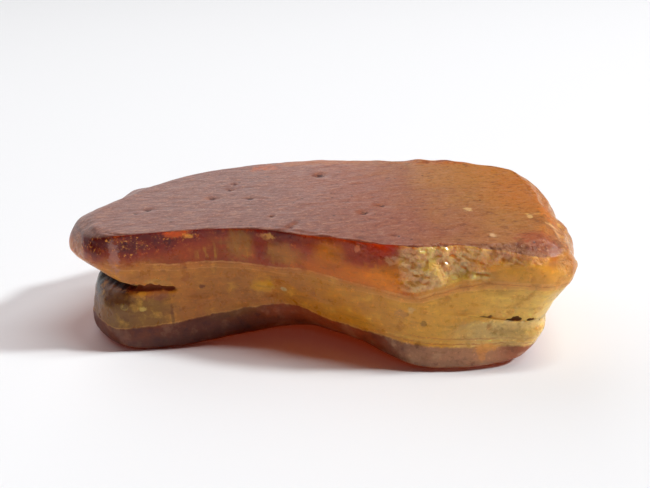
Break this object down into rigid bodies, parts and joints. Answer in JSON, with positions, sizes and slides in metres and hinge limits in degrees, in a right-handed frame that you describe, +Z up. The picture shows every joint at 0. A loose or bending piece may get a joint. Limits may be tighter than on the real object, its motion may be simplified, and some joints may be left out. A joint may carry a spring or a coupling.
{
  "type": "pork stone",
  "caption": "Palm-sized slab of layered waxy chalcedony with a flat leathery top skin, a chipped nose, a groove round the waist and an arched front",
  "frame": {"origin": "middle of the stone's outline box in plan, at the level of the flats it rests on", "axes": "+Z is up through the flat top skin, +X runs along the stone from its narrow tip to its broad end, -Y is the front with the arch and the chipped nose"},
  "size_m": [0.076, 0.0422, 0.0197],
  "materials": {
    "pork_stone": "waxy satin, slightly translucent"
  },
  "bodies": {
    "root": {"pork_stone": "pork_stone"}
  },
  "joints": []
}
